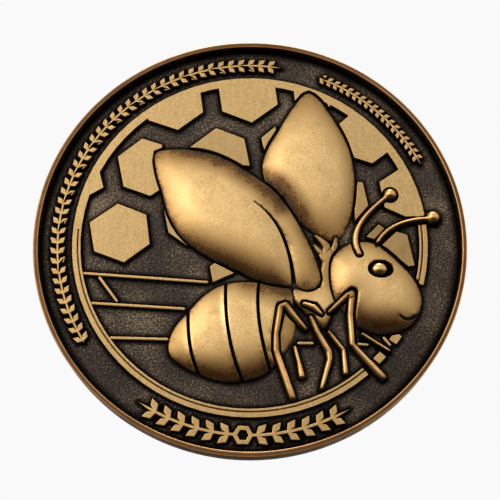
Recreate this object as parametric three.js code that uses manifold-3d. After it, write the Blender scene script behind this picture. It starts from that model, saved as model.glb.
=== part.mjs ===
// Challenge coin, 44.45 mm (1.75 in) across and 3 mm thick, struck on both faces.
// Millimetres, +Z up. The coin stands on its edge with its axis along Y: the obverse, with the
// large bee and the honeycomb, faces -Y, and the reverse, with the small bee badge, faces +Y.
// The origin is the centre of the coin.

import * as THREE from 'three';
import { mergeVertices } from 'three/addons/utils/BufferGeometryUtils.js';
import Module from 'manifold-3d';

const wasm = await Module();
wasm.setup();

// ---------------------------------------------------------------- driving dimensions

const COIN_DIAMETER = 44.45;
const COIN_THICKNESS = 3.0;
const FACETS = 72;                 // sides of every round turned about the coin's axis

const LIP_WIDTH = 0.5;             // the raised lip that guards both faces
const LIP_ROUND = 0.12;            // rounding of the lip's edges
const OBVERSE_RECESS = 1.1;        // lip down to the obverse field
const REVERSE_RECESS = 0.45;       // lip down to the reverse field

const RING_OUTER = 18.3;           // the inner ring round the obverse picture
const RING_INNER = 17.45;
const PLATE_HEIGHT = 0.42;         // ring, comb cells and garlands above the obverse field
const RULE_HEIGHT = 0.32;          // the thin ruled lines
const RULE_WIDTH = 0.3;
const BADGE_HEIGHT = 0.33;         // everything raised on the reverse

const WING_HEIGHT = 1.02;          // crowns of the bee's parts above the obverse field
const HIND_WING_HEIGHT = 0.94;
const FAR_WING_HEIGHT = 0.86;
const HEAD_HEIGHT = 1.05;
const EYE_HEIGHT = 0.98;
const ABDOMEN_HEIGHT = 0.92;
const THORAX_HEIGHT = 0.66;
const TUFT_HEIGHT = 0.7;
const LEG_HEIGHT = 0.72;
const ANTENNA_HEIGHT = 0.72;
const KNOB_HEIGHT = 0.96;

const WING_SHOULDER = 0.45;        // how far in from its outline a crown starts to level off
const HIND_WING_SHOULDER = 0.2;
const BODY_SHOULDER = 0.6;
const THORAX_SHOULDER = 0.25;
const LIMB_SHOULDER = 0.3;         // the same for a limb, as a share of its least width

const CLEARANCE = 0.28;            // the sunk groove left round each part of the bee
const FINE_CLEARANCE = 0.18;       // the same groove round legs and antennae
const SLAB = 4;                    // depth of the blocks that trim a shape at the field
const OUTLINE_STEP = 1.0;          // spacing of the corners along a rounded outline
const FINE_OUTLINE_STEP = 0.6;

// ---------------------------------------------------------------- materials

const reliefGold = new THREE.MeshStandardMaterial({ color: 0xc9a56b, roughness: 0.4, metalness: 1 });
const fieldBrown = new THREE.MeshStandardMaterial({ color: 0x54493a, roughness: 0.65, metalness: 0.9 });
const edgeBronze = new THREE.MeshStandardMaterial({ color: 0x8c6d48, roughness: 0.45, metalness: 1 });
const badgeGold = new THREE.MeshStandardMaterial({ color: 0xc4a36c, roughness: 0.45, metalness: 1 });

// ---------------------------------------------------------------- solids and outlines

function toSolid(geometry) {
  const bare = geometry.clone();
  bare.deleteAttribute('normal');
  bare.deleteAttribute('uv');
  const merged = mergeVertices(bare, 1e-5);
  return new wasm.Manifold(new wasm.Mesh({
    numProp: 3,
    vertProperties: new Float32Array(merged.attributes.position.array),
    triVerts: new Uint32Array(merged.index.array),
  }));
}

function toGeometry(solid) {
  const mesh = solid.getMesh();
  const geometry = new THREE.BufferGeometry();
  geometry.setAttribute('position', new THREE.BufferAttribute(mesh.vertProperties, mesh.numProp));
  geometry.setIndex(new THREE.BufferAttribute(mesh.triVerts, 1));
  const flat = geometry.toNonIndexed();
  flat.computeVertexNormals();
  return flat;
}

// A face is drawn flat in X and Y with +Z standing out of the coin; Z = 0 is its field.
function shapeOf(points) {
  const corners = points.map((point) => (Array.isArray(point) ? new THREE.Vector2(...point) : point));
  if (THREE.ShapeUtils.isClockWise(corners)) {
    corners.reverse();
  }
  return new THREE.Shape(corners);
}

// A smooth closed outline through a few points.
function rounded(points, spacing = OUTLINE_STEP) {
  const knots = points.map(([x, y]) => new THREE.Vector3(x, y, 0));
  const curve = new THREE.CatmullRomCurve3(knots, true, 'centripetal');
  const steps = Math.round(curve.getLength() / spacing);
  const along = curve.getPoints(steps).slice(0, steps);
  return along.map((point) => new THREE.Vector2(point.x, point.y));
}

function ellipse(x, y, halfWidth, halfHeight, steps) {
  const curve = new THREE.EllipseCurve(x, y, halfWidth, halfHeight);
  return curve.getPoints(steps).slice(0, steps);
}

// The outline of a straight bar with round ends, wider at one end than the other if need be.
function bar([x1, y1], [x2, y2], width1, width2, endSteps = 4) {
  const heading = Math.atan2(y2 - y1, x2 - x1);
  const outline = [];
  for (let i = 0; i <= endSteps; i += 1) {
    const angle = heading + Math.PI / 2 + (Math.PI * i) / endSteps;
    outline.push(new THREE.Vector2(x1 + (width1 / 2) * Math.cos(angle), y1 + (width1 / 2) * Math.sin(angle)));
  }
  for (let i = 0; i <= endSteps; i += 1) {
    const angle = heading - Math.PI / 2 + (Math.PI * i) / endSteps;
    outline.push(new THREE.Vector2(x2 + (width2 / 2) * Math.cos(angle), y2 + (width2 / 2) * Math.sin(angle)));
  }
  return outline;
}

// A flat-topped plate standing on the field.
function plate(points, height) {
  return toSolid(new THREE.ExtrudeGeometry(shapeOf(points), { depth: height, bevelEnabled: false }));
}

// A block through the whole relief, grown outwards, that clears a groove round a shape.
function clearing(points, clearance) {
  const cutter = new THREE.ExtrudeGeometry(shapeOf(points), {
    depth: SLAB,
    bevelThickness: 0.01,
    bevelSize: 0,
    bevelOffset: clearance,
    bevelSegments: 1,
  });
  cutter.translate(0, 0, -SLAB / 2);
  return toSolid(cutter);
}

const belowField = toSolid(
  new THREE.BoxGeometry(COIN_DIAMETER, COIN_DIAMETER, SLAB).translate(0, 0, -SLAB / 2),
);

const CROWN_CORE = 0.1;            // the straight part at the middle of a crowned shape

// A crowned shape with rounded shoulders, trimmed flat where it meets the field.
function crowned(points, height, shoulder, roundSteps = 2) {
  const body = new THREE.ExtrudeGeometry(shapeOf(points), {
    depth: CROWN_CORE,
    bevelThickness: height - CROWN_CORE / 2,
    bevelSize: shoulder,
    bevelOffset: -shoulder,
    bevelSegments: roundSteps,
  });
  body.translate(0, 0, -CROWN_CORE / 2);
  return toSolid(body).subtract(belowField);
}

// Limbs are runs of crowned bars that share their joints.
function limb(joints, widths, height) {
  const shoulder = Math.min(...widths) * LIMB_SHOULDER;
  let solid = null;
  for (let i = 0; i + 1 < joints.length; i += 1) {
    const outline = bar(joints[i], joints[i + 1], widths[i], widths[i + 1]);
    const stretch = crowned(outline, height, shoulder, 1);
    solid = solid ? solid.add(stretch) : stretch;
  }
  return solid;
}

function limbClearing(joints, widths, clearance) {
  let solid = null;
  for (let i = 0; i + 1 < joints.length; i += 1) {
    const outline = bar(joints[i], joints[i + 1], widths[i], widths[i + 1]);
    const stretch = clearing(outline, clearance);
    solid = solid ? solid.add(stretch) : stretch;
  }
  return solid;
}

function largestBody(solid) {
  const bodies = solid.decompose();
  bodies.sort((a, b) => b.volume() - a.volume());
  return bodies[0];
}

// ---------------------------------------------------------------- blank and rim

const HALF_THICKNESS = COIN_THICKNESS / 2;
const RIM_RADIUS = COIN_DIAMETER / 2;
const LIP_INNER = RIM_RADIUS - LIP_WIDTH;
const OBVERSE_FIELD = -HALF_THICKNESS + OBVERSE_RECESS;
const REVERSE_FIELD = HALF_THICKNESS - REVERSE_RECESS;

function turned(profile) {
  return toSolid(new THREE.LatheGeometry(profile.map(([r, y]) => new THREE.Vector2(r, y)), FACETS));
}

const blankSolid = turned([
  [0, OBVERSE_FIELD],
  [LIP_INNER, OBVERSE_FIELD],
  [LIP_INNER, REVERSE_FIELD],
  [0, REVERSE_FIELD],
]);

const rimSolid = turned([
  [LIP_INNER, -HALF_THICKNESS + LIP_ROUND],
  [LIP_INNER + LIP_ROUND, -HALF_THICKNESS],
  [RIM_RADIUS - LIP_ROUND, -HALF_THICKNESS],
  [RIM_RADIUS, -HALF_THICKNESS + LIP_ROUND],
  [RIM_RADIUS, HALF_THICKNESS - LIP_ROUND],
  [RIM_RADIUS - LIP_ROUND, HALF_THICKNESS],
  [LIP_INNER + LIP_ROUND, HALF_THICKNESS],
  [LIP_INNER, HALF_THICKNESS - LIP_ROUND],
  [LIP_INNER, -HALF_THICKNESS + LIP_ROUND],
]);

// ---------------------------------------------------------------- obverse: ring and honeycomb

const obversePieces = [];

function addObverse(name, solid, material, cutter = null) {
  obversePieces.push({ name, solid, material, cutter });
}

const degree = Math.PI / 180;

function onCircle(radius, angle) {
  return new THREE.Vector2(radius * Math.cos(angle * degree), radius * Math.sin(angle * degree));
}

function ringStretch(from, to) {
  const steps = Math.max(2, Math.round((to - from) / (360 / FACETS)));
  const outside = [];
  const inside = [];
  for (let i = 0; i <= steps; i += 1) {
    const angle = from + ((to - from) * i) / steps;
    outside.push(onCircle(RING_OUTER, angle));
    inside.unshift(onCircle(RING_INNER, angle));
  }
  return plate([...outside, ...inside], PLATE_HEIGHT);
}

addObverse('ring_main', ringStretch(8.5, 310), reliefGold);
addObverse('ring_right_end', ringStretch(-15.2, 5.4), reliefGold);
addObverse('ring_lower_stub', ringStretch(-45.2, -41.9), reliefGold);
addObverse('ring_claw_stub', ringStretch(-36.8, -33.6), reliefGold);

// The comb cells that touch the ring run under it and are trimmed by its inner wall, and a hair
// of clearance keeps the two apart.
const RING_JOINT = 0.02;
const insideRing = toSolid(
  new THREE.CylinderGeometry(RING_INNER - RING_JOINT, RING_INNER - RING_JOINT, SLAB, FACETS)
    .rotateX(Math.PI / 2),
);

const wholeCells = {
  cell_left: [[-13.75, 4.0], [-10.75, 2.8], [-10.3, -0.4], [-12.9, -2.4], [-16.0, -1.2], [-16.6, 1.95]],
  cell_wing_tip: [[-13.9, 9.25], [-11.4, 11.3], [-9.3, 10.6], [-9.2, 5.7], [-10.4, 4.85], [-13.2, 5.9]],
  cell_between_wings: [[-6.5, 10.2], [-3.6, 12.5], [-0.6, 11.3], [0.0, 8.2], [-3.0, 8.4]],
  cell_sliver_top: [[1.2, 11.4], [2.7, 12.7], [2.9, 11.6], [1.5, 9.9]],
  cell_sliver_right: [[11.25, 6.4], [11.8, 6.4], [12.3, 3.8], [10.85, 2.1], [10.9, 4.2]],
  cell_sliver_left: [[-8.9, 3.3], [-8.4, 0.85], [-5.7, -1.1], [-6.2, 1.6], [-7.6, 3.0]],
  cell_corner_low: [[-4.1, -2.8], [-3.6, -2.4], [-1.6, -3.5], [-3.8, -4.5]],
  cell_behind_antenna: [[12.0, 0.4], [13.3, 1.75], [13.9, 1.3], [12.8, 0.1]],
  cell_behind_head: [[13.6, -0.5], [15.1, 0.95], [16.2, 0.6], [16.85, -2.7], [16.2, -2.8]],
};

const ringCells = {
  cell_ring_upper_left: [[-10.75, 13.4], [-7.65, 12.3], [-5.0, 14.35], [-5.4, 17.6], [-11.4, 14.4]],
  cell_ring_top: [[-3.45, 18.0], [-2.95, 14.45], [0.2, 13.15], [2.95, 15.25], [2.5, 18.0]],
  cell_ring_left: [[-15.75, 8.4], [-15.3, 5.8], [-17.1, 4.5], [-18.0, 5.0]],
  cell_ring_upper_right: [[9.5, 13.0], [11.2, 14.4], [15.5, 10.1], [14.45, 9.75], [12.85, 8.5], [11.0, 9.15]],
  cell_ring_right: [[13.55, 6.4], [16.0, 8.1], [18.0, 5.5], [17.9, 2.6], [16.1, 2.6], [14.0, 3.6]],
  cell_wedge_left_of_tip: [[4.5, 17.4], [4.8, 15.7], [6.2, 16.9], [6.0, 17.4]],
  cell_wedge_right_of_tip: [[7.0, 16.8], [8.4, 14.95], [9.2, 15.5], [8.8, 16.2]],
};

for (const [name, corners] of Object.entries(wholeCells)) {
  addObverse(name, plate(corners, PLATE_HEIGHT), reliefGold);
}
for (const [name, corners] of Object.entries(ringCells)) {
  addObverse(name, plate(corners, PLATE_HEIGHT).intersect(insideRing), reliefGold);
}

// Thin ruled lines that run from the ring to the bee, and one slanting line between two of them.
const rules = {
  rule_upper: [[-16.95, -3.5], [-4.35, -4.45]],
  rule_middle: [[-16.0, -6.65], [-6.65, -7.25]],
  rule_lower: [[-14.0, -10.25], [-8.3, -10.4]],
  rule_slant: [[-15.35, -3.95], [-13.5, -6.45]],
  rule_behind_legs: [[4.85, -10.8], [6.3, -10.8]],
  rule_by_front_leg: [[10.85, -10.9], [11.8, -10.95]],
  rule_beside_claw: [[13.45, -10.25], [14.05, -11.0]],
};

for (const [name, [start, end]] of Object.entries(rules)) {
  addObverse(name, plate(bar(start, end, RULE_WIDTH, RULE_WIDTH, 2), RULE_HEIGHT), reliefGold);
}

// ---------------------------------------------------------------- garlands

// A garland is a thin stem with pairs of slanting leaves and a pointed end. It is drawn as one
// outline along u, with v across it, and place() carries that onto an arc or a straight line.
// All its measures but the leaf's own are shares of the garland's height.
const LEAF_SLANT = 40 * degree;
const LEAF_WIDTH = 0.38;
const LEAF_PITCH = 0.68;
const LEAF_OUTLINE = [[0, 0], [0.42, 0.5], [1, 0], [0.55, -0.5]]; // in lengths and widths of a leaf
const LEAF_FOOT = 0.3;             // how much of its length a leaf takes up on the stem
const STEM = 0.15;
const BARE_ROOT = 0.14;
const BARE_TIP = 1.0;
const CELL_HOLE = 0.26;            // corner radius of the hole in the six-sided cell

// One side of the stem, from its first leaf to the pointed end: for each leaf its back, tip and
// front, then the bare stem up to the next one.
function leafySide(from, length, tall) {
  const leafLength = (tall - STEM * tall) / 2 / Math.sin(LEAF_SLANT);
  const leafWidth = tall * LEAF_WIDTH;
  const room = length - from - tall * BARE_TIP;
  const gaps = Math.floor(room / (tall * LEAF_PITCH));
  const edge = (tall * STEM) / 2;
  const run = [];
  for (let i = 0; i <= gaps; i += 1) {
    const u = from + (room * i) / gaps;
    for (const [along, across] of LEAF_OUTLINE) {
      const out = along * leafLength;
      const aside = across * leafWidth;
      run.push([
        u + out * Math.cos(LEAF_SLANT) - aside * Math.sin(LEAF_SLANT),
        edge + out * Math.sin(LEAF_SLANT) + aside * Math.cos(LEAF_SLANT),
      ]);
    }
    run.push([u + leafLength * LEAF_FOOT, edge]);
  }
  return run;
}

function mirrored(points, acrossU, acrossV) {
  return points.map(([u, v]) => [u * acrossU, v * acrossV]);
}

// A garland that grows one way from a pointed root.
function sprig(length, tall) {
  const side = leafySide(tall * BARE_ROOT, length, tall);
  return { outline: [[0, 0], ...side, [length, 0], ...mirrored(side, 1, -1).reverse()], hole: null };
}

// A garland that grows both ways from an open six-sided cell in its middle.
function doubleSprig(length, tall) {
  const half = length / 2;
  const cell = tall / 2;
  const right = leafySide(cell + tall * BARE_ROOT, half, tall);
  const root = [cell - (tall * STEM) / 2 / Math.sqrt(3), (tall * STEM) / 2];
  const corner = [cell / 2, (cell * Math.sqrt(3)) / 2];
  const top = [corner, root, ...right];
  const upper = [...mirrored(top, -1, 1).reverse(), ...top];
  const outline = [[-half, 0], ...upper, [half, 0], ...mirrored(upper, 1, -1).reverse()];
  const hole = [];
  for (let i = 0; i < 6; i += 1) {
    const angle = i * 60 * degree;
    hole.push([tall * CELL_HOLE * Math.cos(angle), tall * CELL_HOLE * Math.sin(angle)]);
  }
  return { outline, hole };
}

function garland({ outline, hole }, place, height) {
  const shape = shapeOf(outline.map(([u, v]) => place(u, v)));
  if (hole) {
    shape.holes.push(new THREE.Path(hole.map(([u, v]) => place(u, v))));
  }
  return toSolid(new THREE.ExtrudeGeometry(shape, { depth: height, bevelEnabled: false }));
}

// Carries +u round an arc from startAngle, clockwise for 1 and anticlockwise for -1.
function alongArc(radius, startAngle, clockwise) {
  return (u, v) => onCircle(radius + v, startAngle - (clockwise * u) / radius / degree);
}

const SPRIG_RADIUS = 19.8;
const sprigs = {
  garland_upper: { from: 213, to: 80, tall: 1.55 },
  garland_side: { from: 68, to: 25, tall: 1.15 },
};
for (const [name, { from, to, tall }] of Object.entries(sprigs)) {
  const drawn = sprig(SPRIG_RADIUS * (from - to) * degree, tall);
  addObverse(name, garland(drawn, alongArc(SPRIG_RADIUS, from, 1), PLATE_HEIGHT), reliefGold);
}

const BASE_GARLAND = { middle: 268, span: 63, radius: 20.05, tall: 2.1 };
addObverse(
  'garland_base',
  garland(
    doubleSprig(BASE_GARLAND.radius * BASE_GARLAND.span * degree, BASE_GARLAND.tall),
    alongArc(BASE_GARLAND.radius, BASE_GARLAND.middle, -1),
    PLATE_HEIGHT,
  ),
  reliefGold,
);

// ---------------------------------------------------------------- obverse: the bee

function addCrowned(name, outline, height, shoulder, clearance) {
  addObverse(name, crowned(outline, height, shoulder), reliefGold, clearing(outline, clearance));
}

const farWing = rounded([
  [6.3, 16.6], [7.4, 15.8], [8.2, 14.6], [9.0, 13.3], [10.0, 11.3], [10.65, 9.2], [10.9, 7.2],
  [10.85, 5.2], [10.45, 2.9], [9.6, 1.5], [8.3, 0.95], [6.7, 1.0], [4.9, 2.3], [3.2, 4.6],
  [1.7, 6.4], [1.35, 8.4], [2.1, 10.6], [3.1, 12.3], [3.9, 13.8], [4.9, 15.3], [5.6, 16.2],
]);
addCrowned('far_wing', farWing, FAR_WING_HEIGHT, WING_SHOULDER, CLEARANCE);

// The tuft of three hairs between the wings and the head.
const tuft = [
  [6.75, -0.4], [6.75, 0.55], [7.35, -0.3], [7.95, 0.1], [8.25, -0.6], [8.95, 0.15], [9.0, -0.7],
  [8.45, -1.6], [8.1, -2.9], [7.5, -2.9], [7.2, -1.6],
];
const tuftReach = [[6.5, -0.4], [6.6, 0.8], [9.1, 0.5], [9.2, -0.7], [8.4, -2.9], [7.3, -2.9]];
addObverse('thorax_tuft', plate(tuft, TUFT_HEIGHT), reliefGold, clearing(tuftReach, FINE_CLEARANCE));

const thorax = rounded([
  [4.5, -5.2], [5.9, -5.5], [7.2, -4.9], [7.45, -3.3], [8.1, -3.3], [8.1, -4.8], [8.6, -6.2],
  [8.3, -7.6], [7.5, -9.3], [6.6, -8.6], [5.2, -7.3], [4.55, -6.4],
], FINE_OUTLINE_STEP);
addCrowned('thorax', thorax, THORAX_HEIGHT, THORAX_SHOULDER, FINE_CLEARANCE);

// The abdomen is crowned as one shape and parted by three curved grooves into its segments.
const abdomen = rounded([
  [-8.15, -11.1], [-7.85, -9.8], [-7.2, -8.7], [-6.3, -7.7], [-4.9, -6.1], [-3.7, -5.2], [-2.4, -4.65],
  [-0.4, -4.45], [2.0, -4.75], [4.1, -5.3], [4.35, -7.3], [4.45, -9.9], [3.2, -12.2], [1.2, -14.1],
  [-0.8, -14.65], [-2.6, -14.7], [-5.1, -13.95], [-7.0, -12.95], [-8.0, -12.0],
]);
const GROOVE_WIDTH = 0.34;
const abdomenGrooves = [
  [[-6.25, -7.0], [-6.2, -9.4], [-5.9, -11.6], [-4.9, -14.4]],
  [[-2.45, -4.3], [-2.42, -7.5], [-2.05, -10.4], [-0.6, -15.0]],
  [[0.95, -4.2], [0.8, -7.2], [1.1, -9.9], [2.15, -14.0]],
];
let abdomenSolid = crowned(abdomen, ABDOMEN_HEIGHT, BODY_SHOULDER);
for (const groove of abdomenGrooves) {
  for (let i = 0; i + 1 < groove.length; i += 1) {
    const stretch = bar(groove[i], groove[i + 1], GROOVE_WIDTH, GROOVE_WIDTH, 2);
    abdomenSolid = abdomenSolid.subtract(clearing(stretch, 0));
  }
}
const segments = abdomenSolid.decompose();
segments.sort((a, b) => a.boundingBox().min[0] - b.boundingBox().min[0]);
['abdomen_tail', 'abdomen_second', 'abdomen_third', 'abdomen_fourth'].forEach((name, i) => {
  addObverse(name, segments[i], reliefGold);
});

const nearForeWing = rounded([
  [-9.9, 9.7], [-8.2, 10.1], [-6.3, 10.05], [-4.3, 9.7], [-2.35, 8.9], [-0.4, 7.7], [1.2, 6.4],
  [1.7, 5.4], [1.0, 4.2], [1.9, 2.6], [3.0, 0.7], [3.85, -1.6], [4.25, -3.9], [3.9, -4.85],
  [2.4, -4.65], [0.6, -4.15], [-1.4, -3.15], [-3.7, -2.1], [-5.6, -0.9], [-7.2, 0.6], [-8.4, 2.7],
  [-9.2, 5.5], [-9.8, 7.5],
]);
addCrowned('near_fore_wing', nearForeWing, WING_HEIGHT, WING_SHOULDER, CLEARANCE);

const nearHindWing = rounded([
  [2.15, 5.6], [3.1, 4.6], [4.3, 2.9], [5.7, 0.4], [6.5, -1.5], [7.05, -3.3], [7.1, -4.3], [6.6, -5.1],
  [5.7, -5.25], [5.0, -4.75], [4.6, -3.6], [4.15, -1.5], [3.35, 0.8], [2.3, 2.7], [1.4, 4.1], [2.0, 5.0],
]);
addCrowned('near_hind_wing', nearHindWing, HIND_WING_HEIGHT, HIND_WING_SHOULDER, CLEARANCE);

const head = rounded([
  [8.35, -2.4], [8.9, -1.35], [9.9, -0.55], [11.2, -0.15], [12.5, -0.25], [13.7, -0.9], [14.9, -1.95],
  [16.1, -3.3], [17.0, -4.7], [17.4, -6.2], [17.15, -7.6], [16.4, -8.8], [15.3, -9.5], [13.7, -9.85],
  [12.2, -9.7], [10.9, -9.1], [9.6, -7.7], [8.7, -6.3], [8.3, -4.6],
]);
const EYE = { x: 13.2, y: -3.15, width: 1.7, height: 1.5 };
const EYE_SOCKET = { x: 13.3, y: -3.2, width: 2.7, height: 2.0 };
const socket = ellipse(EYE_SOCKET.x, EYE_SOCKET.y, EYE_SOCKET.width / 2, EYE_SOCKET.height / 2, 14);
addObverse(
  'head',
  crowned(head, HEAD_HEIGHT, BODY_SHOULDER).subtract(clearing(socket, 0)),
  reliefGold,
  clearing(head, CLEARANCE).subtract(clearing(socket, 0)),
);

const eyeball = new THREE.SphereGeometry(1, 12, 8);
eyeball.rotateX(Math.PI / 2);
eyeball.scale(EYE.width / 2, EYE.height / 2, EYE_HEIGHT);
eyeball.translate(EYE.x, EYE.y, 0);
addObverse('eye', toSolid(eyeball).subtract(belowField), reliefGold);

// Each leg: where its joints are, and how wide it is at each of them.
const legs = {
  leg_small: { joints: [[4.5, -11.3], [4.9, -12.9], [5.15, -14.2]], widths: [0.35, 0.4, 0.55] },
  leg_thin: { joints: [[7.95, -9.75], [9.35, -11.6], [9.5, -13.9]], widths: [0.35, 0.4, 0.5] },
  leg_far_front: { joints: [[11.3, -9.95], [12.6, -10.8], [13.9, -11.65]], widths: [0.35, 0.35, 0.35] },
  leg_hind: {
    joints: [[5.6, -9.4], [3.6, -6.95], [3.1, -7.1], [2.6, -9.9], [2.6, -11.6], [4.2, -16.3]],
    widths: [0.4, 0.65, 0.6, 0.5, 0.55, 0.6],
  },
  leg_middle: {
    joints: [[6.15, -8.2], [6.8, -9.75], [7.9, -11.7], [7.95, -12.5], [7.1, -15.4]],
    widths: [0.4, 0.5, 0.6, 0.5, 0.4],
  },
  thigh_middle: { joints: [[7.2, -7.85], [6.5, -7.15], [5.5, -6.8]], widths: [0.35, 0.6, 0.45] },
  leg_front: {
    joints: [[8.0, -7.65], [9.8, -5.95], [10.35, -5.65], [10.1, -7.9], [10.25, -11.0], [13.2, -14.3]],
    widths: [0.4, 0.55, 0.65, 0.55, 0.5, 0.65],
  },
};
for (const [name, { joints, widths }] of Object.entries(legs)) {
  const cutter = limbClearing(joints, widths, FINE_CLEARANCE);
  addObverse(name, limb(joints, widths, LEG_HEIGHT), reliefGold, cutter);
}

const antennae = {
  antenna_near: {
    joints: [[11.2, -1.5], [10.85, 0.1], [11.3, 1.7], [12.6, 3.25], [14.2, 4.7]],
    widths: [0.5, 0.5, 0.45, 0.42, 0.42],
    knob: [14.6, 4.95, 0.72],
  },
  antenna_far: {
    joints: [[13.15, -0.2], [14.0, 0.8], [15.2, 1.65], [16.8, 2.1], [18.6, 2.3]],
    widths: [0.4, 0.42, 0.42, 0.42, 0.42],
    knob: [18.95, 2.45, 0.8],
  },
};
for (const [name, { joints, widths, knob }] of Object.entries(antennae)) {
  const [x, y, radius] = knob;
  const ball = new THREE.SphereGeometry(radius, 10, 8);
  ball.scale(1, 1, KNOB_HEIGHT / radius);
  ball.translate(x, y, 0);
  const solid = limb(joints, widths, ANTENNA_HEIGHT).add(toSolid(ball).subtract(belowField));
  const cutter = limbClearing(joints, widths, FINE_CLEARANCE)
    .add(clearing(ellipse(x, y, radius, radius, 16), FINE_CLEARANCE));
  addObverse(name, solid, reliefGold, cutter);
}

// Whatever lies further back is cleared away round each part of the bee in front of it.
for (let back = 0; back < obversePieces.length; back += 1) {
  for (let front = back + 1; front < obversePieces.length; front += 1) {
    if (obversePieces[front].cutter) {
      obversePieces[back].solid = obversePieces[back].solid.subtract(obversePieces[front].cutter);
    }
  }
}

// ---------------------------------------------------------------- reverse

const reversePieces = [];

function addReverse(name, solid) {
  reversePieces.push({ name, solid, material: badgeGold });
}

// The badge: a bee seen from above. Its head, feelers, body and wings are one flat plate, and its
// tail is a plate of its own.
const BADGE_HEAD = { y: 16.2, radius: 1.88 };
const badgeSide = [
  [1.5, 14.95], [2.2, 14.45], [3.4, 13.9], [4.3, 13.3], [5.1, 12.6], [5.75, 11.85], [6.15, 11.1],
  [6.2, 10.2], [5.95, 9.35], [5.35, 8.7], [4.5, 8.35], [3.7, 8.6], [2.95, 9.2], [1.85, 10.3],
];
const badgeBody = [...badgeSide, ...badgeSide.map(([x, y]) => [-x, y]).reverse()];
const badgeNeck = [[-1.5, 14.9], [1.5, 14.9], [1.35, 15.3], [-1.35, 15.3]];
const badgeParts = [
  badgeBody,
  badgeNeck,
  ellipse(0, BADGE_HEAD.y, BADGE_HEAD.radius, BADGE_HEAD.radius, 28),
];
const FEELER_WIDTH = 0.34;
const FEELER_KNOB = 0.43;
for (const side of [1, -1]) {
  const [root, bend, tip] = [[0.8, 17.6], [1.5, 18.4], [2.4, 19.05]].map(([x, y]) => [x * side, y]);
  badgeParts.push(bar(root, bend, FEELER_WIDTH, FEELER_WIDTH, 2));
  badgeParts.push(bar(bend, tip, FEELER_WIDTH, FEELER_WIDTH, 2));
  badgeParts.push(ellipse(tip[0], tip[1], FEELER_KNOB, FEELER_KNOB, 12));
}
addReverse(
  'badge_body',
  badgeParts.map((outline) => plate(outline, BADGE_HEIGHT)).reduce((whole, piece) => whole.add(piece)),
);
const badgeTail = [[-2.05, 8.9], [2.05, 8.9], [1.2, 7.85], [0, 7.15], [-1.2, 7.85]];
addReverse('badge_tail', plate(badgeTail, BADGE_HEIGHT));

// Six rows of ornament under the badge, each centred and as long as its place in the block.
const rows = [
  { y: 2.85, length: 18.6, tall: 2.4 },
  { y: -0.75, length: 24.2, tall: 2.4 },
  { y: -4.35, length: 37.0, tall: 2.4 },
  { y: -7.95, length: 23.2, tall: 2.4 },
  { y: -11.6, length: 30.0, tall: 2.4 },
  { y: -14.65, length: 20.2, tall: 1.5 },
];
rows.forEach(({ y, length, tall }, i) => {
  const row = garland(doubleSprig(length, tall), (u, v) => new THREE.Vector2(u, y + v), BADGE_HEIGHT);
  addReverse(`reverse_row_${i + 1}`, row);
});

// ---------------------------------------------------------------- assembly

const coin = new THREE.Group();

function addMesh(parent, name, solid, material) {
  const mesh = new THREE.Mesh(toGeometry(solid), material);
  mesh.name = name;
  parent.add(mesh);
}

addMesh(coin, 'blank', blankSolid, fieldBrown);
addMesh(coin, 'rim', rimSolid, edgeBronze);

const obverse = new THREE.Group();
obverse.rotation.x = Math.PI / 2;
obverse.position.y = OBVERSE_FIELD;
coin.add(obverse);
for (const { name, solid, material } of obversePieces) {
  addMesh(obverse, name, largestBody(solid), material);
}

const reverse = new THREE.Group();
reverse.rotation.set(-Math.PI / 2, Math.PI, 0, 'YXZ');
reverse.position.y = REVERSE_FIELD;
coin.add(reverse);
for (const { name, solid, material } of reversePieces) {
  addMesh(reverse, name, solid, material);
}

export default coin;
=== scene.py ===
import math
import bpy
import bmesh
import numpy as np
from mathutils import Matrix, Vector
from mathutils.geometry import delaunay_2d_cdt


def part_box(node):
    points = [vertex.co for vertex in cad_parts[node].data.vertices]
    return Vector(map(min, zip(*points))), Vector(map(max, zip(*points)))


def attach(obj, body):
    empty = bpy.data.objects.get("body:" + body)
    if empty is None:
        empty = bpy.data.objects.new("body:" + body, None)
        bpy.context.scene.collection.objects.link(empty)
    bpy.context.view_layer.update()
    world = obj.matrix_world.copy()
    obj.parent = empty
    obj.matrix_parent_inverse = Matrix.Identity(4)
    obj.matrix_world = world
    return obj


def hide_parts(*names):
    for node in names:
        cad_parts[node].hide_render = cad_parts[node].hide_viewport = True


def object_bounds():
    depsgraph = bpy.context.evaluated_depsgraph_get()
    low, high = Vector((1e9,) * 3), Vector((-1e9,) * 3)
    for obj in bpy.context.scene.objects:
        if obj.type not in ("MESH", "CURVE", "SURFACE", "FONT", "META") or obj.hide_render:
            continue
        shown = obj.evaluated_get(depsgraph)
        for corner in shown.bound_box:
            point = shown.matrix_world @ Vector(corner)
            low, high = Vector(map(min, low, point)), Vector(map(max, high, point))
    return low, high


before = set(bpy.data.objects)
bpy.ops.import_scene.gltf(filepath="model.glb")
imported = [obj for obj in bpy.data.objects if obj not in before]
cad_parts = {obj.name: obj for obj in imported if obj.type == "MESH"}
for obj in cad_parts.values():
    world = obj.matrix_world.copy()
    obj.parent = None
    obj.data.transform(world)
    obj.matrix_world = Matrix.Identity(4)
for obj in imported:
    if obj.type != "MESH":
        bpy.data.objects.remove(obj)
cad_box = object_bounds()

# The studio: a pale floor well below the coin, which hangs free so that both of its faces show, one
# big soft light at the left of each face and a dim one overhead. The camera looks a little up at
# the obverse from close by, so that the lower edge of the coin shows.
MM = 0.001
coin_low, coin_high = Vector(cad_box[0]), Vector(cad_box[1])
coin_middle = (coin_low + coin_high) / 2
coin_width = coin_high.x - coin_low.x

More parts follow.
